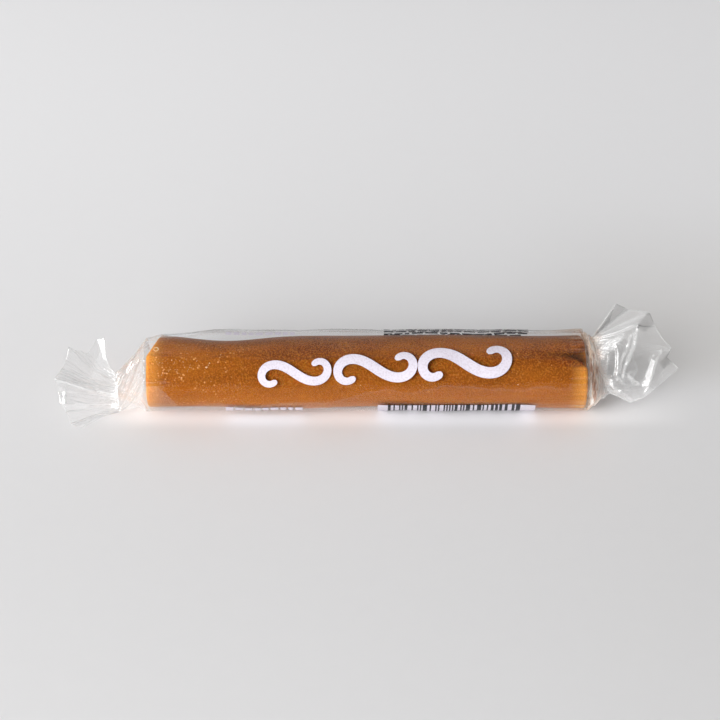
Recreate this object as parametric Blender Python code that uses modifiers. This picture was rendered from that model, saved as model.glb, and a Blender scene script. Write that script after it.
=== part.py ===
"""A stick of soft caramel in a clear wrapper whose two ends are twisted and fan out.

The stick lies along X with its lapped end at +X, its front faces -Y, and +Z is up.
The origin is on the surface that it lies on, under the middle of its length. Metres.
The caramel is one solid. The wrapper is one sheet of film: a sleeve round the stick, a skirt
that closes over each end into a pinched neck, and a pleated fan beyond each neck.
Angles are in degrees round the stick, from +Y over the top: 90 is the top, 180 the front.
"""

import math

import bmesh
import bpy
from mathutils import Vector

MM = 0.001
WELD = 1e-7

# The caramel stick, rolled and cut by hand: its left cut slants back over the top corner, and at
# the right the front of it laps over the rest
CARAMEL_LENGTH = 82.0 * MM
CARAMEL_RADIUS = 6.87 * MM
CARAMEL_AXIS_Z = 7.0 * MM
CARAMEL_FLAT_Z = 0.6 * MM
END_EDGE_ROUND = 0.5 * MM
END_DOME = 0.3 * MM
SLANT = 2.3 * MM
SLANT_FROM = 0.45
DENT_X = -26.0 * MM
DENT_ANGLE = 56.0
DENT_LENGTH = 9.0 * MM
DENT_SPREAD = 34.0
DENT_DEPTH = 1.0 * MM
WAVE_DEPTHS = (0.1 * MM, 0.08 * MM)
WAVE_LENGTHS = (30.0 * MM, 48.0 * MM)
WAVES_ROUND = (2, -3)
GROOVE_ANGLE = 107.0
GROOVE_SPREAD = 10.0
GROOVE_DEPTH = 1.2 * MM
GROOVE_START_X = 31.0 * MM
REAR_ANGLE = 45.0
REAR_SPREAD = 50.0
REAR_SETBACK = 0.95 * MM
LAP_ANGLE = 110.0
LAP_SPREAD = 15.0
LAP_CORNER = 3.1 * MM

# The film sleeve
FILM_RADIUS = 7.4 * MM
FILM_AXIS_Z = 7.05 * MM
FILM_WALL = 0.2 * MM
SLEEVE_HALF = 41.6 * MM
RIDGE_ANGLE = 50.0
RIDGE_HEIGHT = 0.38 * MM
RIDGE_SPREAD = 24.0
CORNER_DIP = 1.2 * MM
CORNER_DIP_START_X = -38.2 * MM
CORNER_DIP_SPREAD = 40.0
RIPPLE = 0.07 * MM
RIPPLE_LENGTH = 19.0 * MM
RIPPLES_ROUND = 4

# Skirts and necks: the pinch is an oval that stands along the ridge direction
SKIRT_PLEATS = 8
SKIRT_PLEAT_DEPTH = 0.38 * MM
NECKS = {
    "left": {
        "centre": Vector((-46.9, -2.6, 4.0)) * MM,
        "half_height": 3.7 * MM,
        "half_depth": 1.7 * MM,
        "lean": -0.4 * MM,
        "twist": 90.0,
    },
    "right": {
        "centre": Vector((44.2, -0.5, 6.4)) * MM,
        "half_height": 3.9 * MM,
        "half_depth": 2.1 * MM,
        "lean": -0.8 * MM,
        "twist": -112.5,
    },
}

# Tips of the fans' folds in mm: along the stick, up the ridge direction and towards the near
# side, from the stick's axis. They go in turn over the top, the near side, the floor side and
# the far side, a fold that stands out and one that lies in by turns.
FAN_TIPS = {
    "left": (
        (-50.5, 5.9, -0.4),
        (-52.8, 3.4, 0.6),
        (-55.7, 4.4, 2.2),
        (-56.6, 1.2, 1.8),
        (-58.1, -1.4, 4.6),
        (-57.6, -3.6, 2.6),
        (-57.2, -6.2, 5.2),
        (-56.2, -7.4, 3.4),
        (-55.0, -9.8, 4.8),
        (-53.2, -10.7, 3.0),
        (-51.4, -9.0, 0.6),
        (-50.2, -7.4, -1.0),
        (-50.3, -5.8, -2.6),
        (-51.0, -4.0, -3.8),
        (-52.6, -1.6, -5.0),
        (-52.2, 2.0, -3.4),
    ),
    "right": (
        (47.0, 12.6, -3.0),
        (49.0, 10.9, -1.4),
        (53.1, 11.0, -1.2),
        (53.8, 8.2, 1.0),
        (55.0, 6.4, 1.2),
        (56.9, 4.2, 3.6),
        (56.0, 2.6, 2.2),
        (58.1, 0.6, 5.0),
        (53.8, -3.2, 4.8),
        (51.6, -5.0, 4.0),
        (49.3, -5.8, 1.8),
        (48.6, -5.2, -0.6),
        (49.6, -3.7, -3.0),
        (51.4, 0.4, -5.2),
        (49.8, 4.4, -4.6),
        (44.9, 6.6, -3.6),
    ),
}
FAN_BELL = 0.22

# How finely each form is divided
CARAMEL_COLUMNS = 44
CARAMEL_ROWS = 18
CARAMEL_CAP_ROWS = 4
COLUMNS_PER_FOLD = 3
FILM_COLUMNS = COLUMNS_PER_FOLD * len(FAN_TIPS["left"])
SLEEVE_ROWS = 9
SKIRT_ROWS = 5
FAN_ROWS = 5

CARAMEL_COLOUR = (0.33, 0.095, 0.018, 1.0)
FILM_COLOUR = (0.9, 0.91, 0.92, 1.0)


def clamp(value):
    return max(0.0, min(1.0, value))


def ease(value):
    """Rises smoothly from 0 to 1 as value does."""
    value = clamp(value)
    return value * value * (3.0 - 2.0 * value)


def near(angle, centre, spread):
    """1 at the centre angle, falling off smoothly over the spread, in degrees."""
    apart = (angle - centre + 180.0) % 360.0 - 180.0
    return math.exp(-((apart / spread) ** 2))


def mix(start, end, share):
    return start + (end - start) * share


def packed_ends(share):
    """Shares from 0 to 1 that lie closer together towards both ends."""
    return 0.5 - 0.5 * math.cos(math.pi * share)


def caramel_radius(x, angle):
    """The stick has a dent at the back, shallow waves, and a groove behind the lap."""
    dent = DENT_DEPTH * near(angle, DENT_ANGLE, DENT_SPREAD) * math.exp(-(((x - DENT_X) / DENT_LENGTH) ** 2))
    waves = 0.0
    for depth, length, count in zip(WAVE_DEPTHS, WAVE_LENGTHS, WAVES_ROUND):
        waves += depth * (1.0 + math.sin(math.tau * x / length + math.radians(count * angle)))
    groove = GROOVE_DEPTH * near(angle, GROOVE_ANGLE, GROOVE_SPREAD)
    groove *= ease((x - GROOVE_START_X) / (CARAMEL_LENGTH / 2 - GROOVE_START_X))
    return CARAMEL_RADIUS - dent - waves - groove


def caramel_end(side, angle):
    """Where the cut face meets the stick's side at this angle."""
    half = CARAMEL_LENGTH / 2
    if side < 0:
        height = math.cos(math.radians(angle - RIDGE_ANGLE))
        return SLANT * clamp((height - SLANT_FROM) / (1.0 - SLANT_FROM)) - half
    rear = REAR_SETBACK * near(angle, REAR_ANGLE, REAR_SPREAD)
    corner = LAP_CORNER * near(angle, LAP_ANGLE, LAP_SPREAD)
    return half - max(rear, corner)


def caramel_point(row, column):
    """Rows run from the middle of the left cut face, along the stick, to the right one."""
    angle = 360.0 * column / CARAMEL_COLUMNS
    inner = CARAMEL_ROWS + CARAMEL_CAP_ROWS
    side = -1 if row < CARAMEL_CAP_ROWS else 1 if row > inner else 0
    left = caramel_end(-1, angle) + END_EDGE_ROUND
    right = caramel_end(1, angle) - END_EDGE_ROUND
    if side == 0:
        x = mix(left, right, packed_ends((row - CARAMEL_CAP_ROWS) / CARAMEL_ROWS))
        radius = caramel_radius(x, angle)
    else:
        steps = CARAMEL_CAP_ROWS - row if side < 0 else row - inner
        rim = left if side < 0 else right
        wide = caramel_radius(rim, angle)
        if steps < CARAMEL_CAP_ROWS - 1:
            turn = math.radians(90.0) * steps / (CARAMEL_CAP_ROWS - 2)
            x = rim + side * END_EDGE_ROUND * math.sin(turn)
            radius = wide - END_EDGE_ROUND * (1.0 - math.cos(turn))
        else:
            middle = side * (CARAMEL_LENGTH / 2 + END_DOME)
            share = (CARAMEL_CAP_ROWS - steps) / 2
            x = mix(middle, rim + side * END_EDGE_ROUND, share)
            radius = (wide - END_EDGE_ROUND) * share
    y = radius * math.cos(math.radians(angle))
    z = CARAMEL_AXIS_Z + radius * math.sin(math.radians(angle))
    return Vector((x, y, max(z, CARAMEL_FLAT_Z)))


def across(along, up, forward):
    """A step along the stick, up the ridge direction, and square to both towards the near side."""
    ridge = math.radians(RIDGE_ANGLE)
    y = up * math.cos(ridge) - forward * math.sin(ridge)
    z = up * math.sin(ridge) + forward * math.cos(ridge)
    return Vector((along, y, z))


def oval_point(centre, half_height, half_depth, lean, angle):
    """A point of an oval across the stick, whose long axis stands along the ridge direction."""
    turn = math.radians(angle - RIDGE_ANGLE)
    high, deep = math.cos(turn), math.sin(turn)
    return centre + across(lean * high, half_height * high, half_depth * deep)


def sleeve_radius(x, angle):
    """The film is taut round the stick, stands off it in a soft ridge, and dips at the left end."""
    ridge = RIDGE_HEIGHT * near(angle, RIDGE_ANGLE, RIDGE_SPREAD)
    turn = math.tau * x / RIPPLE_LENGTH + math.radians(RIPPLES_ROUND * angle)
    ripple = RIPPLE * (1.0 + math.sin(turn))
    dip = CORNER_DIP * ease((CORNER_DIP_START_X - x) / (SLEEVE_HALF + CORNER_DIP_START_X))
    return FILM_RADIUS + ridge + ripple - dip * near(angle, RIDGE_ANGLE, CORNER_DIP_SPREAD)


def sleeve_point(x, angle):
    radius = sleeve_radius(x, angle)
    turn = math.radians(angle)
    z = FILM_AXIS_Z + radius * math.sin(turn)
    return Vector((x, radius * math.cos(turn), max(z, 0.0)))


def skirt_point(side, share, angle):
    """From the sleeve's end, share 0, the film closes in to the neck, share 1, turning as it goes."""
    neck = NECKS[side]
    end_x = math.copysign(SLEEVE_HALF, neck["centre"].x)
    turned = angle + neck["twist"] * share
    axis_end = Vector((end_x, 0.0, FILM_AXIS_Z))
    centre = mix(axis_end, neck["centre"], share)
    radius = sleeve_radius(end_x, turned)
    pleat = math.cos(math.radians(angle * SKIRT_PLEATS)) * SKIRT_PLEAT_DEPTH * math.sin(math.pi * share)
    height = mix(radius, neck["half_height"], share) + pleat
    depth = mix(radius, neck["half_depth"], share) + pleat
    point = oval_point(centre, height, depth, neck["lean"] * share, turned)
    point.z = max(point.z, 0.0)
    return point


def fan_point(side, share, angle):
    """From the neck, share 0, each fold runs to its tip, share 1, with flat gores between folds."""
    neck = NECKS[side]
    tips = FAN_TIPS[side]
    turned = angle + neck["twist"]
    root = oval_point(neck["centre"], neck["half_height"], neck["half_depth"], neck["lean"], turned)
    place = (turned - RIDGE_ANGLE) / 360.0 * len(tips)
    first = math.floor(place + WELD)
    here, after = (across(*tips[fold % len(tips)]) * MM for fold in (first, first + 1))
    tip = mix(here, after, place - first) + Vector((0.0, 0.0, FILM_AXIS_Z))
    bell = Vector((math.copysign(1.0, neck["centre"].x), 0.0, 0.0)) * (tip - root).length * FAN_BELL
    return mix(root, tip, share) + bell * math.sin(math.pi * share) * (1.0 - share)


def film_stations():
    """The sheet's rows from the left free edge to the right one: the part of it, and how far along."""
    left = [("left fan", 1.0 - row / FAN_ROWS) for row in range(FAN_ROWS)]
    left += [("left skirt", 1.0 - row / SKIRT_ROWS) for row in range(SKIRT_ROWS)]
    middle = [("sleeve", row / SLEEVE_ROWS) for row in range(SLEEVE_ROWS + 1)]
    right = [(part.replace("left", "right"), share) for part, share in reversed(left)]
    return left + middle + right


def film_point(station, column):
    part, share = station
    angle = RIDGE_ANGLE + 360.0 * column / FILM_COLUMNS
    if part == "sleeve":
        return sleeve_point(mix(-SLEEVE_HALF, SLEEVE_HALF, packed_ends(share)), angle)
    side, form = part.split()
    return fan_point(side, share, angle) if form == "fan" else skirt_point(side, share, angle)


def rolled_sheet(name, rows, columns, place, collection):
    """A flat grid rolled up: place says where each crossing goes, and its long edges are welded."""
    sheet = bmesh.new()
    bmesh.ops.create_grid(sheet, x_segments=columns, y_segments=rows, size=0.5)
    for crossing in sheet.verts:
        column = round((crossing.co.x + 0.5) * columns)
        row = round((crossing.co.y + 0.5) * rows)
        crossing.co = place(row, column % columns)
    bmesh.ops.remove_doubles(sheet, verts=sheet.verts, dist=WELD)
    mesh = bpy.data.meshes.new(name)
    sheet.to_mesh(mesh)
    sheet.free()
    piece = bpy.data.objects.new(name, mesh)
    collection.objects.link(piece)
    return piece


def material(name, colour, roughness, alpha=1.0):
    surface = bpy.data.materials.new(name)
    surface.use_nodes = True
    shader = surface.node_tree.nodes["Principled BSDF"]
    shader.inputs["Base Color"].default_value = colour
    shader.inputs["Roughness"].default_value = roughness
    shader.inputs["Metallic"].default_value = 0.0
    shader.inputs["Alpha"].default_value = alpha
    surface.diffuse_color = (*colour[:3], alpha)
    return surface


def make_caramel(collection):
    rows = CARAMEL_ROWS + 2 * CARAMEL_CAP_ROWS
    piece = rolled_sheet("caramel", rows, CARAMEL_COLUMNS, caramel_point, collection)
    piece.data.materials.append(material("soft caramel", CARAMEL_COLOUR, 0.3))
    piece.data.shade_smooth()


def make_wrapper(collection):
    stations = film_stations()
    piece = rolled_sheet(
        "wrapper",
        len(stations) - 1,
        FILM_COLUMNS,
        lambda row, column: film_point(stations[row], column),
        collection,
    )
    wall = piece.modifiers.new("wall", "SOLIDIFY")
    wall.thickness = FILM_WALL
    wall.offset = -1.0
    piece.data.materials.append(material("clear film", FILM_COLOUR, 0.06, 0.25))
    piece.data.shade_smooth()


def main():
    for item in list(bpy.data.objects):
        bpy.data.objects.remove(item, do_unlink=True)
    candy = bpy.data.collections.new("salted caramel candy")
    bpy.context.scene.collection.children.link(candy)
    make_caramel(candy)
    make_wrapper(candy)


main()
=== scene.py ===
"""Looks of a caramel stick in clear film, twisted at both ends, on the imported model's frame.

The stick lies along X with its lapped end at +X, its front faces -Y, and +Z is up. Metres.
Angles are in degrees round the stick, from +Y over the top: 90 is the top, 180 the front.
The caramel is shaped from a cylinder. The film is one flat sheet rolled round it with a lap,
and the print is thin layers of ink laid on the film's outside.
"""

import math
import random

import bmesh
import bpy
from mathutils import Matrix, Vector, noise


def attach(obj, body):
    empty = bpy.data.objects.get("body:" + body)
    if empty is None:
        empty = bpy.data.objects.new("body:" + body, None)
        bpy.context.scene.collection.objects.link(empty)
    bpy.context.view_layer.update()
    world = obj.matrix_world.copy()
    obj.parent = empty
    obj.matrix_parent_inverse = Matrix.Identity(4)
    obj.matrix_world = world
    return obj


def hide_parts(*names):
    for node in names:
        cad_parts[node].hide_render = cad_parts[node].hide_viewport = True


MM = 0.001
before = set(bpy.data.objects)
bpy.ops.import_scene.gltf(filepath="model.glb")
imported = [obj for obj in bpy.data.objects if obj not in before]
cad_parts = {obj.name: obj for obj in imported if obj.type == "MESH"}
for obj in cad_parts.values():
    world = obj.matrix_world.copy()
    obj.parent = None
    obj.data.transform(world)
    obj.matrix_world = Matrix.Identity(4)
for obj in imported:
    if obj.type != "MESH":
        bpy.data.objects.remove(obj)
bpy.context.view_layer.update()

# The caramel stick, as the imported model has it
CARAMEL_LENGTH = 82.0 * MM
CARAMEL_RADIUS = 6.95 * MM
CARAMEL_AXIS_Z = 7.0 * MM
CARAMEL_FLAT_Z = 0.45 * MM
END_EDGE_ROUND = 0.5 * MM
END_DOME = 0.3 * MM
SLANT = 2.3 * MM
SLANT_FROM = 0.45
DENT_X = -26.0 * MM
DENT_ANGLE = 56.0
DENT_LENGTH = 9.0 * MM
DENT_SPREAD = 34.0
DENT_DEPTH = 1.0 * MM
WAVE_DEPTHS = (0.1 * MM, 0.08 * MM)
WAVE_LENGTHS = (30.0 * MM, 48.0 * MM)
WAVES_ROUND = (2, -3)
GROOVE_ANGLE = 107.0
GROOVE_SPREAD = 10.0
GROOVE_DEPTH = 1.5 * MM
GROOVE_START_X = 31.0 * MM
# Where painted shade darkens the fold behind the lap
FOLD_SHADE_ANGLE = 108.0
FOLD_SHADE_SPREAD = 13.0
FOLD_SHADE_START_X = 37.0 * MM
FOLD_SHADE_FULL_X = 40.0 * MM
REAR_ANGLE = 45.0
REAR_SPREAD = 50.0
REAR_SETBACK = 0.95 * MM
LAP_ANGLE = 110.0
LAP_SPREAD = 15.0
LAP_CORNER = 3.1 * MM
LUMP_SIZE = 5.0 * MM
LUMP_DEPTH = 0.12 * MM
LUMPS_DRAWN_OUT = 0.4
CARAMEL_ROUND = 144
CARAMEL_RINGS = 220
END_RINGS = 7
EDGE_STEPS = 4

# The film: a sleeve, two twisted skirts and two fans
FILM_RADIUS = 7.24 * MM
FILM_AXIS_Z = 7.05 * MM
FILM_WALL = 0.04 * MM
SLEEVE_HALF = 41.35 * MM
RIDGE_ANGLE = 50.0
NEAR_SIDE_ANGLE = RIDGE_ANGLE + 90.0
RIDGE_HEIGHT = 0.42 * MM
RIDGE_SPREAD = 24.0
CORNER_DIPS = ((0.75 * MM, -28.0 * MM, -38.0 * MM), (0.95 * MM, -38.0 * MM, -41.6 * MM))
CORNER_DIP_SPREAD = 34.0
REAR_SLEEVE_SETBACK = 1.1 * MM
REAR_SLEEVE_SPREAD = 50.0
RIPPLE = 0.05 * MM
RIPPLE_LENGTH = 19.0 * MM
RIPPLES_ROUND = 4
WOBBLE = 0.22 * MM
WOBBLE_LENGTH = 6.0 * MM
WOBBLE_ROUND = 3.0 * MM
LAP_START = 36.0
LAP_OVER = 20.0
LAP_RISE = 0.12 * MM
SKIRT_PLEATS = 8
SKIRT_PLEAT_DEPTH = 0.38 * MM
SKIRT_SAG = {"left": 0.9 * MM, "right": 0.3 * MM}
TWISTS = {"left": 90.0, "right": -112.5}
LEFT_NECK = Vector((-46.9, -2.6, 4.0)) * MM
LEFT_NECK_HALF_HEIGHT = 3.7 * MM
LEFT_NECK_HALF_DEPTH = 0.7 * MM
LEFT_NECK_LEAN = -0.4 * MM

# Folds of the fans, from the neck to the free edge, as points in mm: along the stick, up the ridge
# direction and towards the near side, from the stick's axis. They go in turn over the top, the near
# side, the floor side and the far side. The left fan's folds start on its oval neck.
LEFT_TIPS = (
    (-49.4, 6.3, -0.73),
    (-50.9, 5.9, -1.32),
    (-52.6, 3.2, -0.6),
    (-55.9, 4.4, 1.6),
    (-56.6, 1.2, 1.8),
    (-58.1, -1.4, 4.8),
    (-57.6, -3.6, 3.4),
    (-57.2, -6.2, 3.6),
    (-56.2, -7.4, 2.4),
    (-55.0, -9.8, 4.8),
    (-53.2, -10.7, 3.0),
    (-51.4, -9.0, 0.6),
    (-50.3, -6.4, -2.2),
    (-51.0, -4.0, -3.8),
    (-52.6, -1.6, -5.0),
    (-50.8, 3.0, -2.8),
)
RIGHT_FOLDS = (
    ((42.3, 6.4, 0.0), (47.0, 12.8, -3.6)),
    ((42.3, 6.3, 0.1), (49.0, 11.7, -1.6)),
    ((42.35, 6.2, 0.2), (53.2, 11.0, -1.4)),
    ((42.4, 6.0, 0.3), (46.2, 7.2, 1.5), (49.9, 8.6, 2.0), (52.0, 8.4, 1.8), (54.0, 8.4, 1.4)),
    ((42.6, 5.3, 0.5), (45.4, 5.1, 1.6), (48.0, 6.2, 2.1), (51.5, 6.8, 2.2), (55.0, 6.4, 2.0)),
    ((43.0, 3.6, 0.7), (45.5, 2.9, 2.0), (48.1, 3.6, 2.3), (52.6, 4.8, 2.5), (56.9, 4.2, 2.9)),
    ((43.4, 1.8, 0.8), (45.6, 1.0, 2.0), (48.6, 1.4, 2.3), (52.8, 2.7, 2.4), (56.0, 2.6, 2.7)),
    ((43.8, -0.1, 0.8), (46.2, -1.2, 1.9), (49.0, -1.0, 2.1), (53.0, -0.2, 2.5), (58.1, 0.6, 3.0)),
    ((44.5, -1.8, 0.7), (46.6, -3.1, 1.7), (49.3, -3.4, 1.9), (52.0, -3.1, 2.3), (53.8, -3.2, 2.5)),
    ((45.0, -3.1, 0.6), (47.1, -4.0, 1.4), (49.0, -4.8, 1.5), (50.1, -5.3, 1.6), (51.6, -5.0, 1.8)),
    ((45.4, -3.8, 0.3), (46.9, -4.6, 0.7), (48.2, -5.3, 0.9), (49.3, -5.8, 1.0)),
    ((45.6, -4.1, 0.0), (48.6, -5.2, -0.6)),
    ((45.5, -3.6, -0.4), (49.6, -3.7, -3.0)),
    ((44.6, -1.0, -0.8), (51.4, 0.4, -5.2)),
    ((43.6, 2.2, -0.9), (49.8, 4.4, -4.6)),
    ((42.7, 5.0, -0.5), (44.9, 6.6, -3.6)),
)
FOLD_TURNS = {
    "left": (0, 12, 30, 50, 70, 90, 108, 124, 140, 155, 170, 188, 215, 250, 290, 330),
    "right": (0, 7, 14, 24, 42, 62, 78, 95, 115, 135, 155, 180, 205, 255, 305, 338),
}
FAN_BELL = 0.22
FAN_ROWS = {"left": 36, "right": 60}
SKIRT_ROWS = 20
SLEEVE_ROWS = 42
FILM_COLUMNS = 256

# Folds between these angles show as lines, the more the sharper
SOFT_BEND = {"left": 14.0, "right": 7.0}
SHARP_BEND = 60.0
FREE_EDGE = {"left": 28.0, "right": 48.0}
RING_EDGE = 0.015 * MM

# Print
INK_LIFT = 0.035 * MM
INK_WALL = 0.02 * MM


def clamp(value):
    return max(0.0, min(1.0, value))


def ease(value):
    """Rises smoothly from 0 to 1 as value does."""
    value = clamp(value)
    return value * value * (3.0 - 2.0 * value)


def near(angle, centre, spread):
    """1 at the centre angle, falling off smoothly over the spread, in degrees."""
    apart = (angle - centre + 180.0) % 360.0 - 180.0
    return math.exp(-((apart / spread) ** 2))


def outward(angle):
    """One step straight out from the stick at this angle."""
    turn = math.radians(angle)
    return Vector((0.0, math.cos(turn), math.sin(turn)))


def mix(start, end, share):
    return start + (end - start) * share


def packed_ends(share):
    """Shares from 0 to 1 that lie closer together towards both ends."""
    return 0.5 - 0.5 * math.cos(math.pi * share)


def crease(turns):
    """A folded line: 1 at whole turns and -1 half way between, straight from one to the other."""
    share = turns % 1.0
    return abs(share - 0.5) * 4.0 - 1.0


# Hand tools


def start_on(piece):
    """Only this piece is selected and active."""
    if bpy.context.mode != "OBJECT":
        bpy.ops.object.mode_set(mode="OBJECT")
    bpy.ops.object.select_all(action="DESELECT")
    piece.select_set(True)
    bpy.context.view_layer.objects.active = piece


def edit(piece):
    """Opens the piece in edit mode with nothing selected."""
    start_on(piece)
    bpy.ops.object.mode_set(mode="EDIT")
    bpy.ops.mesh.select_all(action="DESELECT")


def pick(piece, mode, test):
    """Selects the edges or faces of the open piece for which the test holds."""
    bpy.ops.mesh.select_mode(type=mode)
    work = bmesh.from_edit_mesh(piece.data)
    parts = work.edges if mode == "EDGE" else work.faces
    for part in parts:
        part.select_set(False)
    for part in parts:
        if test(part):
            part.select_set(True)
    work.select_flush_mode()
    bmesh.update_edit_mesh(piece.data)


def settle(piece):
    """Back to object mode with the piece's place in its mesh."""
    start_on(piece)
    bpy.ops.object.transform_apply(location=True, rotation=True, scale=True)


def carry(piece, place):
    """Moves every point of the piece to where place says."""
    for point in piece.data.vertices:
        point.co = place(point.co.copy())
    piece.data.update()


def wall(piece, thickness):
    """Gives a sheet its wall, inwards."""
    start_on(piece)
    thicken = piece.modifiers.new("wall", "SOLIDIFY")
    thicken.thickness = thickness
    thicken.offset = -1.0
    bpy.ops.object.modifier_apply(modifier=thicken.name)


def fresh(name, add, **settings):
    """A new primitive, selected alone."""
    bpy.ops.object.select_all(action="DESELECT")
    add(**settings)
    piece = bpy.context.object
    piece.name = piece.data.name = name
    return piece


def keep(piece, name, value_at):
    """Keeps on the mesh a value for each of its points, for the piece's finish."""
    kept = piece.data.attributes.new(name, "FLOAT", "POINT")
    for point, mark in zip(piece.data.vertices, kept.data):
        mark.value = value_at(point.co)


def flat_sheet(name, columns, rows):
    """A flat grid over the unit square, to be carried to its place."""
    settings = {"x_subdivisions": columns, "y_subdivisions": rows, "size": 1.0}
    piece = fresh(name, bpy.ops.mesh.primitive_grid_add, location=(0.5, 0.5, 0.0), **settings)
    settle(piece)
    return piece


def join(name, pieces):
    start_on(pieces[0])
    for piece in pieces:
        piece.select_set(True)
    bpy.ops.object.join()
    pieces[0].name = pieces[0].data.name = name
    return pieces[0]


# The caramel


def caramel_radius(x, angle):
    """The stick has a dent at the back, shallow waves, and a groove behind the lap."""
    dent = DENT_DEPTH * near(angle, DENT_ANGLE, DENT_SPREAD)
    dent *= math.exp(-(((x - DENT_X) / DENT_LENGTH) ** 2))
    waves = 0.0
    for depth, length, count in zip(WAVE_DEPTHS, WAVE_LENGTHS, WAVES_ROUND):
        waves += depth * (1.0 + math.sin(math.tau * x / length + math.radians(count * angle)))
    groove = GROOVE_DEPTH * near(angle, GROOVE_ANGLE, GROOVE_SPREAD)
    groove *= ease((x - GROOVE_START_X) / (CARAMEL_LENGTH / 2 - GROOVE_START_X))
    return CARAMEL_RADIUS - dent - waves - groove


def caramel_end(side, angle):
    """Where the cut face meets the stick's side at this angle."""
    half = CARAMEL_LENGTH / 2
    if side < 0:
        height = math.cos(math.radians(angle - RIDGE_ANGLE))
        return SLANT * clamp((height - SLANT_FROM) / (1.0 - SLANT_FROM)) - half
    rear = REAR_SETBACK * near(angle, REAR_ANGLE, REAR_SPREAD)
    corner = LAP_CORNER * near(angle, LAP_ANGLE, LAP_SPREAD)
    return half - max(rear, corner)


def caramel_place(point):
    """From the plain cylinder to the stick as it was cut and rolled by hand."""
    angle = math.degrees(math.atan2(point.z - CARAMEL_AXIS_Z, point.y))
    out = math.hypot(point.y, point.z - CARAMEL_AXIS_Z) / CARAMEL_RADIUS
    half = CARAMEL_LENGTH / 2
    along = (point.x + half) / CARAMEL_LENGTH
    cut = mix(caramel_end(-1, angle), caramel_end(1, angle), along)
    x = mix(point.x, cut, out) if out > 0.0 else point.x
    dome = END_DOME * (1.0 - out) * (1.0 if abs(point.x) > half - END_EDGE_ROUND else 0.0)
    x += math.copysign(dome, point.x)
    lumps = LUMP_DEPTH * noise.noise(Vector((x * LUMPS_DRAWN_OUT, point.y, point.z)) / LUMP_SIZE)
    spot = outward(angle) * (caramel_radius(x, angle) + lumps) * out
    return Vector((x, spot.y, max(CARAMEL_AXIS_Z + spot.z, CARAMEL_FLAT_Z)))


def fold_shade_at(point):
    """How much painted shade this point of the plain cylinder gets in the fold behind the lap, 0 to 1.
    """
    angle = math.degrees(math.atan2(point.z - CARAMEL_AXIS_Z, point.y))
    deep = near(angle, FOLD_SHADE_ANGLE, FOLD_SHADE_SPREAD)
    return deep * ease((point.x - FOLD_SHADE_START_X) / (FOLD_SHADE_FULL_X - FOLD_SHADE_START_X))


def make_caramel():
    piece = fresh(
        "caramel_stick",
        bpy.ops.mesh.primitive_cylinder_add,
        vertices=CARAMEL_ROUND,
        radius=CARAMEL_RADIUS,
        depth=CARAMEL_LENGTH,
        location=(0.0, 0.0, CARAMEL_AXIS_Z),
        rotation=(0.0, math.radians(90.0), 0.0),
    )
    settle(piece)
    edit(piece)
    pick(piece, "EDGE", lambda e: abs(e.verts[0].co.x - e.verts[1].co.x) > MM)
    bpy.ops.mesh.subdivide(number_cuts=CARAMEL_RINGS)
    pick(piece, "EDGE", lambda e: any(len(f.verts) > 4 for f in e.link_faces))
    bpy.ops.mesh.bevel(offset=END_EDGE_ROUND, segments=EDGE_STEPS, profile=0.5)
    pick(piece, "FACE", lambda f: len(f.verts) > 4)
    for _ in range(END_RINGS):
        bpy.ops.mesh.inset(thickness=(CARAMEL_RADIUS - END_EDGE_ROUND) / (END_RINGS + 1))
    bpy.ops.mesh.poke()
    bpy.ops.object.mode_set(mode="OBJECT")
    # Keeps where painted shade darkens the fold behind the lap
    keep(piece, "fold", fold_shade_at)
    carry(piece, caramel_place)
    piece.data.shade_smooth()
    return piece


# The film


def across(along, up, forward):
    """A step along the stick, up the ridge direction, and square to both towards the near side."""
    ridge = math.radians(RIDGE_ANGLE)
    y = up * math.cos(ridge) - forward * math.sin(ridge)
    z = up * math.sin(ridge) + forward * math.cos(ridge)
    return Vector((along, y, z))


def sleeve_radius(x, angle):
    """The film is taut round the stick, stands off it in a soft ridge, and dips at the left end."""
    ridge = RIDGE_HEIGHT * near(angle, RIDGE_ANGLE, RIDGE_SPREAD)
    turn = math.tau * x / RIPPLE_LENGTH + math.radians(RIPPLES_ROUND * angle)
    ripple = RIPPLE * (1.0 + math.sin(turn))
    spot = outward(angle) * FILM_RADIUS / WOBBLE_ROUND + Vector((x / WOBBLE_LENGTH, 0.0, 0.0))
    ripple += WOBBLE * noise.noise(spot)
    dip = 0.0
    for depth, start_x, full_x in CORNER_DIPS:
        dip += depth * ease((start_x - x) / (start_x - full_x))
    return FILM_RADIUS + ridge + ripple - dip * near(angle, RIDGE_ANGLE, CORNER_DIP_SPREAD)


def sleeve_end(side, angle):
    """Where the sleeve turns into the skirt: over the rear right corner it turns in earlier."""
    if side == "left":
        return -SLEEVE_HALF
    return SLEEVE_HALF - REAR_SLEEVE_SETBACK * near(angle, RIDGE_ANGLE, REAR_SLEEVE_SPREAD)


def sleeve_point(x, angle, lift=0.0):
    spot = outward(angle) * (sleeve_radius(x, angle) + lift)
    return Vector((x, spot.y, max(FILM_AXIS_Z + spot.z, -lift * 0.5)))


def fold_place(side, turned):
    """Which fold starts at this angle round the neck, with the share of the way to the next one."""
    roots = FOLD_TURNS[side]
    rounds, turn = divmod(turned - RIDGE_ANGLE, 360.0)
    first = max(index for index, root in enumerate(roots) if root <= turn)
    after = roots[first + 1] if first + 1 < len(roots) else 360.0
    return rounds * len(roots) + first + (turn - roots[first]) / (after - roots[first])


def along_fold(points, share):
    """A point on the smooth line through a fold's points, given in mm."""
    last = len(points) - 1
    first = min(last - 1, math.floor(share * last))
    at = share * last - first
    here, after = Vector(points[first]), Vector(points[first + 1])
    before = Vector(points[first - 1]) if first > 0 else here
    beyond = Vector(points[first + 2]) if first + 2 <= last else after
    leave, arrive = (after - before) * 0.5, (beyond - here) * 0.5
    square, cube = at * at, at * at * at
    smooth = here * (2 * cube - 3 * square + 1) + leave * (cube - 2 * square + at)
    return smooth + after * (3 * square - 2 * cube) + arrive * (cube - square)


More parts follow.
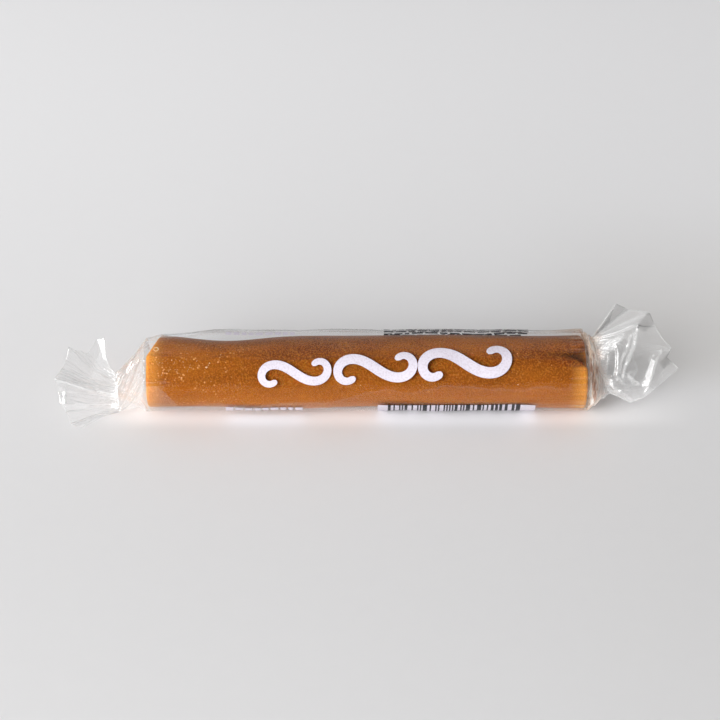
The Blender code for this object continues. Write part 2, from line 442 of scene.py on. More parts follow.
def fan_point(side, share, turned):
    """From the neck, share 0, to the free edge, share 1, with flat gores between the folds."""
    place = fold_place(side, turned)
    first = math.floor(place)
    axis = Vector((0.0, 0.0, FILM_AXIS_Z))
    if side == "right":
        here, after = (RIGHT_FOLDS[fold % len(RIGHT_FOLDS)] for fold in (first, first + 1))
        spot = mix(along_fold(here, share), along_fold(after, share), place - first)
        return across(*spot) * MM + axis
    turn = math.radians(turned - RIDGE_ANGLE)
    high, deep = math.cos(turn), math.sin(turn)
    step = across(LEFT_NECK_LEAN * high, LEFT_NECK_HALF_HEIGHT * high, LEFT_NECK_HALF_DEPTH * deep)
    root = LEFT_NECK + step
    here, after = (across(*LEFT_TIPS[fold % len(LEFT_TIPS)]) * MM for fold in (first, first + 1))
    tip = mix(here, after, place - first) + axis
    bell = Vector((-1.0, 0.0, 0.0)) * (tip - root).length * FAN_BELL
    return mix(root, tip, share) + bell * math.sin(math.pi * share) * (1.0 - share)


def skirt_point(side, share, angle):
    """From the sleeve's end, share 0, the film closes in to the neck, share 1, turning as it goes."""
    turned = angle + TWISTS[side] * share
    start = sleeve_point(sleeve_end(side, turned), turned)
    neck = fan_point(side, 0.0, turned)
    pleat = math.cos(math.radians(angle * SKIRT_PLEATS)) * SKIRT_PLEAT_DEPTH
    swell = (pleat - SKIRT_SAG[side]) * math.sin(math.pi * share)
    point = mix(start, neck, share) + outward(turned) * swell
    point.z = max(point.z, 0.0)
    return point


def end_stations(side):
    """One end's rows, from the fan's free edge to the sleeve."""
    fan, skirt = FAN_ROWS[side], SKIRT_ROWS
    rows = [(side + " fan", 1.0 - row / fan) for row in range(fan)]
    return rows + [(side + " skirt", 1.0 - row / skirt) for row in range(skirt)]


def film_stations():
    """The sheet's rows from the left free edge to the right one: the part, and how far along it."""
    middle = [("sleeve", row / SLEEVE_ROWS) for row in range(SLEEVE_ROWS + 1)]
    return end_stations("left") + middle + end_stations("right")[::-1]


def film_point(station, angle):
    part, share = station
    rise = LAP_RISE * (angle - LAP_START) / (360.0 + LAP_OVER)
    if part == "sleeve":
        x = mix(sleeve_end("left", angle), sleeve_end("right", angle), packed_ends(share))
        return sleeve_point(x, angle, rise)
    side, form = part.split()
    if form == "skirt":
        return skirt_point(side, share, angle) + outward(angle + TWISTS[side] * share) * rise
    turned = angle + TWISTS[side]
    return fan_point(side, share, turned) + outward(turned) * rise


# Pleats finer than the folds: how deep they are and how many go round
GATHERS = 26
GATHER_DEPTH = {"left": 0.12 * MM, "right": 0.2 * MM}
GATHER_REACH = 6.0 * MM
GATHER_AT_SLEEVE = 0.5
GATHER_FADE = 0.7
FINE_PLEATS = 44
FINE_DEPTH = 0.07 * MM
FINE_REACH = {"left": 1.25, "right": 0.35}
BROAD_PLEATS = 19
BROAD_DEPTH = {"left": 0.17 * MM, "right": 0.03 * MM}
BROAD_LEAN = 0.25
BROAD_START = 1.6
PLEAT_SEEDS = {"left": 3.7, "right": 11.3}
PLEAT_PATCH = 1.6
SMOOTH_TOP = (6.0, 14.0)
SMOOTH_FRONT = (116.0, 12.0)


def pleats(count, angle, wander):
    return crease(angle / 360.0 * count + wander)


def crinkle_depth(station, angle):
    """How far a pleat stands off the film: it starts on the sleeve's ends, and thins on the fans."""
    part, share = station
    side, form = part.split() if part != "sleeve" else ("left" if share < 0.5 else "right", "skirt")
    turn = math.radians(angle)
    wander = noise.noise(Vector((math.cos(turn), math.sin(turn), PLEAT_SEEDS[side])) * PLEAT_PATCH)
    if form == "skirt":
        reach = mix(GATHER_AT_SLEEVE, 1.0, ease(share * 5.0)) - GATHER_FADE * share * share
        if part == "sleeve":
            x = mix(-SLEEVE_HALF, SLEEVE_HALF, packed_ends(share))
            reach = GATHER_AT_SLEEVE * ease((abs(x) - SLEEVE_HALF + GATHER_REACH) / GATHER_REACH)
        return GATHER_DEPTH[side] * reach * pleats(GATHERS, angle, wander * 2.0)
    fine = FINE_DEPTH * pleats(FINE_PLEATS, angle, wander * 3.0)
    fine *= clamp(1.0 - share / FINE_REACH[side])
    broad = BROAD_DEPTH[side] * pleats(BROAD_PLEATS, angle, wander * 2.2 + BROAD_LEAN * share)
    broad *= ease(share * BROAD_START)
    if side == "right":
        return fine + broad
    turned = angle + TWISTS[side] - RIDGE_ANGLE
    return (fine + broad) * (1.0 - near(turned, *SMOOTH_TOP) - share * near(turned, *SMOOTH_FRONT))


# Creases pressed into the film's near side, all in mm. Each runs through points, given along the
# stick and up across the view from the stick's axis. It stands up by a height, and falls away over
# one reach to the right hand of its run and over another to the left hand.
CREASES = (
    (((46.6, 4.8), (47.0, 3.4), (46.8, -0.8)), 0.3, 0.48, 1.3),
    (((49.1, 6.0), (48.7, 4.4), (47.5, 1.6), (47.3, -0.1)), 0.3, 0.5, 1.2),
    (((50.4, 7.2), (50.1, 4.9), (48.4, 0.9), (48.0, -0.5)), 0.33, 0.55, 2.2),
    (((45.1, 3.6), (44.7, -0.1)), 0.26, 0.42, 1.0),
    (((54.3, 2.6), (54.0, 2.0), (53.0, -1.6), (52.6, -2.5)), 0.48, 1.15, 1.8),
    (((48.9, -0.8), (50.2, -1.9)), 0.34, 0.6, 1.2),
    (((46.7, -0.8), (47.8, -2.0)), 0.28, 0.5, 1.0),
    (((45.2, -2.4), (46.2, -3.3)), 0.26, 0.5, 0.9),
    (((46.7, -4.3), (47.6, -3.8)), 0.24, 0.45, 0.6),
    (((42.3, 6.4), (46.2, 7.1), (50.2, 8.7)), 0.3, 0.35, 0.35),
    (((47.9, 6.7), (45.4, 5.7), (43.3, 3.9)), 0.34, 0.3, 0.34),
    (((47.4, 6.0), (45.4, 4.8), (43.8, 3.3)), 0.32, 0.28, 0.3),
    (((47.0, 5.2), (45.6, 4.0)), 0.28, 0.28, 0.3),
    (((41.0, 5.7), (42.0, 2.4), (43.1, -1.4)), 0.25, 0.5, 0.7),
    (((43.3, -4.3), (42.4, -5.8)), 0.25, 0.5, 0.6),
    (((-43.4, 2.9), (-44.6, 0.0), (-45.7, -3.1)), 0.3, 0.6, 0.6),
    (((-42.3, 4.0), (-43.3, 1.2), (-44.5, -1.6)), 0.25, 0.5, 0.5),
    (((-52.7, -3.1), (-50.8, -4.0)), 0.2, 0.5, 0.5),
    (((-55.2, -5.3), (-52.3, -6.1)), 0.2, 0.5, 0.5),
    (((-51.8, -6.8), (-50.3, -7.0)), 0.15, 0.5, 0.5),
    (((-56.2, -3.9), (-56.3, -7.0)), 0.48, 0.68, 1.2),
    (((-39.8, 3.1), (-38.2, 3.4), (-36.8, 3.3), (-35.2, 4.3)), 0.2, 0.4, 0.7),
    (((-40.0, -0.9), (-38.9, -1.5), (-36.4, -1.6), (-34.2, -3.5), (-35.4, -6.6)), 0.16, 0.5, 0.5),
    (((-38.4, -1.5), (-38.9, -4.2)), 0.12, 0.5, 0.5),
    (((-24.0, -6.3), (-17.5, -5.8), (-12.5, -6.1), (-6.5, -5.4), (0.5, -5.9)), 0.1, 0.4, 0.6),
    (((12.0, -6.0), (19.0, -5.6), (27.0, -6.1), (36.0, -5.7)), 0.1, 0.4, 0.6),
)


def crease_lift(x, up):
    highest = 0.0
    for points, height, right_reach, left_reach in CREASES:
        least = 1.0
        for start, end in zip(points, points[1:]):
            run_x, run_up = end[0] - start[0], end[1] - start[1]
            from_x, from_up = x - start[0], up - start[1]
            share = clamp((from_x * run_x + from_up * run_up) / (run_x**2 + run_up**2))
            apart = math.hypot(from_x - run_x * share, from_up - run_up * share)
            reach = left_reach if run_x * from_up - run_up * from_x > 0.0 else right_reach
            least = min(least, apart / reach)
        highest = max(highest, height * (1.0 - least))
    return highest * MM


def seen_at(point):
    """Where a point of the film shows, in mm: along the stick, and up across the view from its axis."""
    up = across(0.0, 1.0, 0.0).dot(point - Vector((0.0, 0.0, FILM_AXIS_Z)))
    return point.x / MM, up / MM


def press_creases(piece):
    near_side = across(0.0, 0.0, 1.0)
    normals = [point.normal.copy() for point in piece.data.vertices]
    for point, normal in zip(piece.data.vertices, normals):
        facing = clamp(normal.dot(near_side) * 3.0)
        if facing > 0.0:
            point.co += near_side * crease_lift(*seen_at(point.co)) * facing


def mark_bends(piece):
    """Keeps on the sheet how sharply it is folded, 0 to 1, with its free edges as folds."""
    sheet = bmesh.new()
    sheet.from_mesh(piece.data)
    bends = sheet.verts.layers.float.new("bend")
    for edge in sheet.edges:
        side = "left" if edge.verts[0].co.x < 0.0 else "right"
        free = len(edge.link_faces) < 2
        if not free and abs(edge.verts[0].co.x - edge.verts[1].co.x) < RING_EDGE:
            continue
        bend = FREE_EDGE[side] if free else math.degrees(edge.calc_face_angle(0.0))
        bend = clamp((bend - SOFT_BEND[side]) / (SHARP_BEND - SOFT_BEND[side]))
        for point in edge.verts:
            point[bends] = max(point[bends], bend)
    sheet.to_mesh(piece.data)
    sheet.free()


# Facets of the right fan that the film's finish makes darker grey, as corners where they show in mm
GREY_FACETS = (
    ((42.6, 6.5), (47.35, 12.9), (49.2, 11.8)),
    ((53.2, 11.4), (54.8, 9.6), (52.0, 7.4), (50.4, 8.2)),
    ((56.8, 4.2), (58.0, 2.6), (55.4, 0.4), (54.6, 1.6)),
)
FACET_EDGE = 0.25


def inside_facet(corners, x, up):
    """1 inside the corners, which run clockwise, and 0 outside, with a soft edge."""
    least = 1.0
    for start, end in zip(corners, corners[1:] + corners[:1]):
        run_x, run_up = end[0] - start[0], end[1] - start[1]
        within = (run_up * (x - start[0]) - run_x * (up - start[1])) / math.hypot(run_x, run_up)
        least = min(least, clamp(0.5 + within / FACET_EDGE))
    return least


def grey_facet_at(point):
    """How much this point lies in a darker grey facet of the right fan, 0 to 1."""
    return max(inside_facet(corners, *seen_at(point)) for corners in GREY_FACETS)


def make_film():
    stations = film_stations()
    rows = len(stations) - 1
    piece = flat_sheet("film_wrapper", FILM_COLUMNS, rows)
    flat = [point.co.copy() for point in piece.data.vertices]
    marks = [(stations[round(p.y * rows)], LAP_START + p.x * (360.0 + LAP_OVER)) for p in flat]
    for point, mark in zip(piece.data.vertices, marks):
        point.co = film_point(*mark)
    piece.data.update()
    depths = [crinkle_depth(*mark) for mark in marks]
    normals = [point.normal.copy() for point in piece.data.vertices]
    for point, depth, normal in zip(piece.data.vertices, depths, normals):
        point.co += normal * depth
    piece.data.update()
    press_creases(piece)
    carry(piece, lambda p: Vector((p.x, p.y, max(p.z, 0.0))))
    mark_bends(piece)
    # Keeps where the right fan's facets are made darker grey
    keep(piece, "grey_facet", grey_facet_at)
    wall(piece, FILM_WALL)
    piece.data.shade_smooth()
    return piece


# Print


def on_film(u, v, lift):
    """A point of the print, u along the stick and v in degrees round it, on the film's outside."""
    rolled = (v - LAP_START - LAP_OVER) % 360.0 + LAP_OVER
    return sleeve_point(u, v, LAP_RISE * rolled / (360.0 + LAP_OVER) + lift)


def ink(name, u, v, columns, rows):
    """A thin patch of ink from one u to the other and from one v to the other."""
    piece = flat_sheet(name, columns, rows)
    carry(piece, lambda p: on_film(mix(u[0], u[1], p.x), mix(v[0], v[1], p.y), INK_LIFT))
    wall(piece, INK_WALL)
    return piece


PRINT_RADIUS = FILM_RADIUS + 0.1 * MM
PRINT_MIDDLE_X = 2.6 * MM
PRINT_MIDDLE_ANGLE = 139.0
PRINT_TILT = math.radians(3.0)
LOOK_AHEAD = 0.002


def stroke(name, centre_line, width, steps):
    """A flat strip of ink bent along a line: centre_line and width take a share from 0 to 1."""
    piece = flat_sheet(name, steps, 4)

    def place(p):
        here = centre_line(p.x)
        ahead = centre_line(min(1.0, p.x + LOOK_AHEAD)) - centre_line(max(0.0, p.x - LOOK_AHEAD))
        side = Vector((-ahead.y, ahead.x)).normalized()
        flat = here + side * width(p.x) * (p.y - 0.5)
        tilted_u = flat.x * math.cos(PRINT_TILT) - flat.y * math.sin(PRINT_TILT)
        tilted_v = flat.x * math.sin(PRINT_TILT) + flat.y * math.cos(PRINT_TILT)
        angle = PRINT_MIDDLE_ANGLE - math.degrees(tilted_v / PRINT_RADIUS)
        return on_film(PRINT_MIDDLE_X + tilted_u, angle, INK_LIFT)

    carry(piece, place)
    edit(piece)
    bpy.ops.mesh.select_all(action="SELECT")
    bpy.ops.mesh.normals_make_consistent(inside=False)
    bpy.ops.object.mode_set(mode="OBJECT")
    wall(piece, INK_WALL)
    return piece


# Each scroll's middle along and across in mm, and its size
SCROLLS = ((-16.0, 0.4, 0.86), (-1.0, 0.5, 0.98), (15.6, 0.7, 1.1))
SCROLL_TURNS = 0.8
SCROLL_HEADING = math.radians(-37.0)
SCROLL_LENGTH = 27.0 * MM
SCROLL_STEPS = 400
SCROLL_CUTS = 150
SCROLL_BROAD = 2.0 * MM
SCROLL_THIN = 1.3 * MM
STROKE_TIP = 0.03


def scroll_line(middle, size):
    """A wave that rolls up into a curl at both ends: it bends more the further from its middle."""
    points = []
    step = SCROLL_LENGTH * size / SCROLL_STEPS
    here = Vector((0.0, 0.0))
    for count in range(SCROLL_STEPS + 1):
        share = 2.0 * count / SCROLL_STEPS - 1.0
        heading = SCROLL_HEADING + SCROLL_TURNS * math.tau * share * share
        here = here + Vector((math.cos(heading), math.sin(heading))) * step
        points.append(here.copy())
    centre = points[SCROLL_STEPS // 2]
    points = [point - centre + middle for point in points]

    def line(share):
        at = clamp(share) * SCROLL_STEPS
        first = min(SCROLL_STEPS - 1, math.floor(at))
        return mix(points[first], points[first + 1], at - first)

    return line


def swelling(broad, thin):
    """Stroke width: broad in the middle, thin towards the curls, rounded at both ends."""

    def width(share):
        body = mix(thin, broad, math.sin(math.pi * share))
        tip = min(1.0, share / STROKE_TIP, (1.0 - share) / STROKE_TIP)
        return body * math.sqrt(max(0.0, tip * (2.0 - tip)))

    return width


def make_scroll():
    strokes = []
    for middle_u, middle_v, size in SCROLLS:
        middle = Vector((middle_u, middle_v)) * MM
        width = swelling(SCROLL_BROAD * size, SCROLL_THIN * size)
        strokes.append(stroke("scroll", scroll_line(middle, size), width, SCROLL_CUTS))
    return join("print_scroll", strokes)


# The white block, and on it the bars and rows of dashes: along the stick, and angles round it
BLOCK = ((2.0 * MM, 31.4 * MM), (199.0, 334.0))
BAR_WIDTHS = (0.26 * MM, 0.26 * MM, 0.52 * MM, 0.78 * MM)
BARS = ((3.9 * MM, 28.9 * MM), (197.5, 330.0))
DASH_ROWS = 10
DASH_ANGLE = 344.0
DASH_ROW_STEP = 9.6
DASH_TALL = 3.8
DASH_START = 3.2 * MM
DASH_LAST_START = 29.5 * MM
DASH_END = 30.2 * MM
DASH_LENGTHS = (0.5, 2.4)
DASH_GAP = 0.45 * MM


def make_block():
    return ink("print_block", *BLOCK, 60, 64)


def make_bars():
    draw = random.Random(5)
    bars = []
    (u, end), round_it = BARS
    while u < end:
        wide = draw.choice(BAR_WIDTHS)
        bars.append(ink("bar", (u, u + wide), round_it, 2, 48))
        u += wide + draw.choice(BAR_WIDTHS)
    for row in range(DASH_ROWS):
        v = DASH_ANGLE + row * DASH_ROW_STEP
        u = DASH_START
        while u < DASH_LAST_START:
            wide = draw.uniform(*DASH_LENGTHS) * MM
            bars.append(ink("dash", (u, min(u + wide, DASH_END)), (v, v + DASH_TALL), 3, 2))
            u += wide + DASH_GAP
    piece = join("print_bars", bars)
    carry(piece, lambda p: p + Vector((0.0, p.y, p.z - FILM_AXIS_Z)).normalized() * INK_LIFT)
    return piece


# Rows of white marks: low and high angle, first and last place along the stick in mm
MARK_ROWS = (
    (207.0, 233.0, -26.4, -12.6),
    (67.0, 76.0, -26.4, -14.0),
    (-34.0, -22.0, -30.0, -4.0),
    (-60.0, -48.0, -28.0, -8.0),
    (-100.0, -82.0, -27.0, -12.0),
)
MARK_WIDTHS = (0.9, 1.1, 1.1, 1.4)
MARK_GAP = 0.4 * MM


def make_marks():
    """Rows of plain white marks on the back, left of the white block."""
    draw = random.Random(11)
    marks = []
    for low, high, start, end in MARK_ROWS:
        u = start * MM
        while u < end * MM:
            wide = draw.choice(MARK_WIDTHS) * MM
            marks.append(ink("mark", (u, u + wide), (low, high), 6, 8))
            u += wide + MARK_GAP
    return join("print_marks", marks)


# Salt: most grains lie in a patch at the left end, the others anywhere. Middles and spreads of the
# patch, and the ranges of the others, along the stick in mm and round it in degrees
SALT_COUNT = 240
SALT_SIZES = (0.03, 0.075)
SALT_SUNK = 0.3
PATCH_SHARE = 0.7
PATCH = ((-34.5, 3.4), (135.0, 20.0))
ANYWHERE = ((-38.0, 39.0), (20.0, 215.0))
SALT_ENDS = (-39.8, 39.5)

# Bright grains and the ring: where they show in mm, and their size
BRIGHT_SUNK = 0.1
BRIGHT_GRAINS = (
    (-29.8, 0.8, 0.2),
    (-34.4, -1.2, 0.17),
    (-29.2, 1.6, 0.12),
    (-36.2, 2.2, 0.12),
    (-31.0, -2.4, 0.1),
    (-37.6, 0.4, 0.12),
    (-16.7, -5.9, 0.12),
    (-16.6, 1.9, 0.14),
    (27.9, 3.4, 0.12),
    (28.0, -2.5, 0.12),
    (34.2, 1.2, 0.1),
)
RING_BUBBLE = (-39.2, 4.4, 0.42)


def grain_on_stick(first, x, angle, size, sunk):
    """One grain copied onto the caramel, partly sunk in it."""
    out, side = outward(angle), outward(angle + 90.0)
    radius = caramel_radius(x * MM, angle)
    centre = Vector((x * MM, 0.0, CARAMEL_AXIS_Z)) + out * (radius - size * sunk * MM)
    grain = first.copy()
    grain.data = first.data.copy()
    bpy.context.collection.objects.link(grain)
    carry(grain, lambda p: centre + (Vector((p.x, 0.0, 0.0)) + side * p.y + out * p.z) * size * MM)
    return grain


def angle_in_view(up):
    """The angle round the stick that shows so many mm above its axis in the photograph."""
    return NEAR_SIDE_ANGLE - math.degrees(math.asin(up * MM / CARAMEL_AXIS_Z))


def make_salt():
    """Salt grains and air bubbles between the caramel and the film, thickest at the left end."""
    draw = random.Random(23)
    first = fresh("grain", bpy.ops.mesh.primitive_ico_sphere_add, subdivisions=1, radius=1.0)
    grains = []
    for count in range(SALT_COUNT):
        left = count < SALT_COUNT * PATCH_SHARE
        x = draw.gauss(*PATCH[0]) if left else draw.uniform(*ANYWHERE[0])
        angle = draw.gauss(*PATCH[1]) if left else draw.uniform(*ANYWHERE[1])
        if SALT_ENDS[0] < x < SALT_ENDS[1]:
            grains.append(grain_on_stick(first, x, angle, draw.uniform(*SALT_SIZES), SALT_SUNK))
    for x, up, size in BRIGHT_GRAINS:
        grains.append(grain_on_stick(first, x, angle_in_view(up), size, BRIGHT_SUNK))
    bpy.data.objects.remove(first)
    shape = {"major_segments": 24, "minor_segments": 8, "major_radius": 1.0, "minor_radius": 0.2}
    ring = fresh("ring", bpy.ops.mesh.primitive_torus_add, **shape)
    x, up, size = RING_BUBBLE
    grains.append(grain_on_stick(ring, x, angle_in_view(up), size, 0.0))
    bpy.data.objects.remove(ring)
    piece = join("caramel_salt", grains)
    piece.data.shade_smooth()
    return piece


# Materials


class Wiring:
    """Short ways to add and join nodes."""

    def __init__(self, tree):
        self.tree = tree

    def node(self, kind, **settings):
        made = self.tree.nodes.new(kind)
        for key, value in settings.items():
            setattr(made, key, value)
        return made

    def join(self, start, end):
        self.tree.links.new(start, end)

    def axes(self, place):
        parts = self.node("ShaderNodeSeparateXYZ")
        self.join(place, parts.inputs[0])
        return parts.outputs

    def range(self, value, start, end, low=0.0, high=1.0):
        """Goes smoothly from low to high as the value goes from start to end."""
        made = self.node("ShaderNodeMapRange", interpolation_type="SMOOTHSTEP")
        self.join(value, made.inputs["Value"])
        limits = {"From Min": start, "From Max": end, "To Min": low, "To Max": high}
        for name, number in limits.items():
            made.inputs[name].default_value = number
        return made.outputs["Result"]

    def band(self, value, start, end, low=0.0, high=1.0):
        """The same, for a place from start to end in mm."""
        return self.range(value, start * MM, end * MM, low, high)

    def math(self, operation, first, second=None):
        made = self.node("ShaderNodeMath", operation=operation)
        for socket, value in zip(made.inputs, (first, second)):
            if isinstance(value, (int, float)):
                socket.default_value = value
            elif value is not None:
                self.join(value, socket)
        return made.outputs[0]

    def chain(self, operation, values):
        made = values[0]
        for value in values[1:]:
            made = self.math(operation, made, value)
        return made

    def sum(self, *values):
        return self.chain("ADD", values)

    def product(self, *values):
        return self.chain("MULTIPLY", values)

    def most(self, *values):
        return self.chain("MAXIMUM", values)

    def rest(self, mask):
        """Where the mask isn't."""
        return self.math("SUBTRACT", 1.0, mask)


def cloudy_group():
    """A mask of soft clouds, used by every finish, which sets how large and how hard they are."""
    group = bpy.data.node_groups.new("cloudy", "ShaderNodeTree")
    sockets = group.interface
    sockets.new_socket(name="Vector", in_out="INPUT", socket_type="NodeSocketVector")
    for name in ("Scale", "Detail", "Low", "High"):
        sockets.new_socket(name=name, in_out="INPUT", socket_type="NodeSocketFloat")
    sockets.new_socket(name="Mask", in_out="OUTPUT", socket_type="NodeSocketFloat")
    wires = Wiring(group)
    entry = wires.node("NodeGroupInput").outputs
    clouds = wires.node("ShaderNodeTexNoise")
    for name in ("Vector", "Scale", "Detail"):
        wires.join(entry[name], clouds.inputs[name])
    spread = wires.node("ShaderNodeMapRange")
    wires.join(clouds.outputs["Fac"], spread.inputs["Value"])
    wires.join(entry["Low"], spread.inputs["From Min"])
    wires.join(entry["High"], spread.inputs["From Max"])
    wires.join(spread.outputs["Result"], wires.node("NodeGroupOutput").inputs["Mask"])
    return group


class Finish(Wiring):
    """One material being put together round its shader."""

    def __init__(self, name, clouds, **values):
        self.surface = bpy.data.materials.new(name)
        self.surface.use_nodes = True
        super().__init__(self.surface.node_tree)
        self.shader = self.tree.nodes["Principled BSDF"]
        for key, value in values.items():
            self.shader.inputs[key.replace("_", " ")].default_value = value
        self.clouds = clouds
        self.place = self.node("ShaderNodeTexCoord").outputs["Object"]

    def feed(self, name, value):
        self.join(value, self.shader.inputs[name])

    def kept(self, name):
        """A value that the mesh keeps at each of its points."""
        return self.node("ShaderNodeAttribute", attribute_name=name).outputs["Fac"]

    def stretched(self, *scale):
        mapping = self.node("ShaderNodeMapping")
        mapping.inputs["Scale"].default_value = scale
        self.join(self.place, mapping.inputs["Vector"])
        return mapping.outputs["Vector"]

    def cloudy(self, vector, scale, detail, low, high):
        mask = self.node("ShaderNodeGroup", node_tree=self.clouds)
        self.join(vector, mask.inputs["Vector"])
        for name, value in {"Scale": scale, "Detail": detail, "Low": low, "High": high}.items():
            mask.inputs[name].default_value = value
        return mask.outputs["Mask"]

    def blend(self, mask, first, second):
        made = self.node("ShaderNodeMix", data_type="RGBA")
        self.join(mask, made.inputs["Factor"])
        colours = [socket for socket in made.inputs if socket.type == "RGBA"]
        for socket, value in zip(colours, (first, second)):
            if isinstance(value, tuple):
                socket.default_value = (*value, 1.0)
            else:
                self.join(value, socket)
        return next(socket for socket in made.outputs if socket.type == "RGBA")

    def layers(self, tone, *layers):
        """Lays one colour after another over the tone, each with its mask."""
        for mask, colour in layers:
            tone = self.blend(mask, tone, colour)
        return tone

    def bump(self, height, strength, distance):
        made = self.node("ShaderNodeBump")
        made.inputs["Strength"].default_value = strength
        made.inputs["Distance"].default_value = distance
        self.join(height, made.inputs["Height"])
        self.feed("Normal", made.outputs["Normal"])


# Tones of the finishes, as red, green and blue
CLEAR = (1.0, 1.0, 1.0)
COOL_FILM = (0.93, 0.97, 1.0)
# Painted reflection of the caramel in the right skirt's gathers, warm and in brown streaks, and painted
# white highlight streaks
CARAMEL_REFLECTION_FILM = (1.0, 0.84, 0.7)
BROWN_REFLECTION_STREAK = (0.42, 0.17, 0.09)
WHITE_HIGHLIGHT_STREAK = (1.0, 0.97, 0.93)
# Darker grey for facets of the right fan
GREY_FACET_FILM = (0.1, 0.1, 0.1)
CARAMEL_DARK = (0.17, 0.042, 0.002)
CARAMEL_LIGHT = (0.3, 0.088, 0.005)
# Painted light and shade on the caramel: shade on top, light low down, at the left and at the cut ends,
# shade at the top of the right end and in the fold behind the lap
CARAMEL_TOP_SHADE = (0.11, 0.018, 0.0015)
CARAMEL_LIT_UNDER = (0.56, 0.17, 0.012)
CARAMEL_LIT_LEFT = (0.4, 0.125, 0.008)
CARAMEL_LIT_END = (0.8, 0.36, 0.06)
CARAMEL_SHADED = (0.13, 0.024, 0.004)
CARAMEL_FOLD_SHADE = (0.09, 0.018, 0.002)
CARAMEL_STREAK = (0.16, 0.035, 0.002)
CARAMEL_GRAIN = (0.5, 0.17, 0.018)
CARAMEL_SPECK = (0.85, 0.45, 0.16)
SALT_DARK = (0.75, 0.36, 0.12)
SALT_LIGHT = (0.95, 0.75, 0.5)
# Painted light and shade on the paper: darker front, lighter back, a painted glow before the stick, a
# painted shadow by the right fan
PAPER_SHADED_FRONT = (0.7, 0.695, 0.7)
PAPER_LIT_BACK = (0.9, 0.895, 0.905)
PAPER_PAINTED_GLOW = (0.95, 0.94, 0.95)
PAPER_PAINTED_SHADOW = (0.62, 0.6, 0.575)
PAPER_MOTTLE = (1.0, 0.99, 0.98)

# Inks: the tone where they lie full and where they lie thin, and their roughness
WHITE_INK = ((0.66, 0.62, 0.7), (0.56, 0.5, 0.57), 0.45)
BLACK_INK = ((0.012, 0.012, 0.016), (0.035, 0.033, 0.036), 0.6)

# The slanted edge from which the film stands off the cut corner: its rise per length, and its place
CORNER_SLOPE = 1.47
CORNER_PLACE = (-46.1, -46.6)
SHADOW_SHARE = 0.2


def film_stands_off(film, x, z, along):
    """Where the film stands off the caramel: low, high and at both ends, and over the cut corner."""
    patches = film.cloudy(film.stretched(0.45, 1.0, 1.0), 230.0, 2.0, 0.2, 0.8)
    low = film.sum(z, film.product(patches, -2.5 * MM), film.band(x, -12.0, 6.0, 0.0, -4.2 * MM))
    high = film.sum(z, film.product(patches, 1.6 * MM))
    end = film.sum(along, film.product(patches, 4.0 * MM))
    corner = film.sum(z, film.product(x, CORNER_SLOPE), film.product(patches, 2.5 * MM))
    corner = film.band(corner, *CORNER_PLACE)
    sides = film.most(film.band(low, 3.6, 2.8), film.band(high, 14.0, 14.5))
    return film.most(sides, film.band(end, 39.5, 40.2), corner), corner


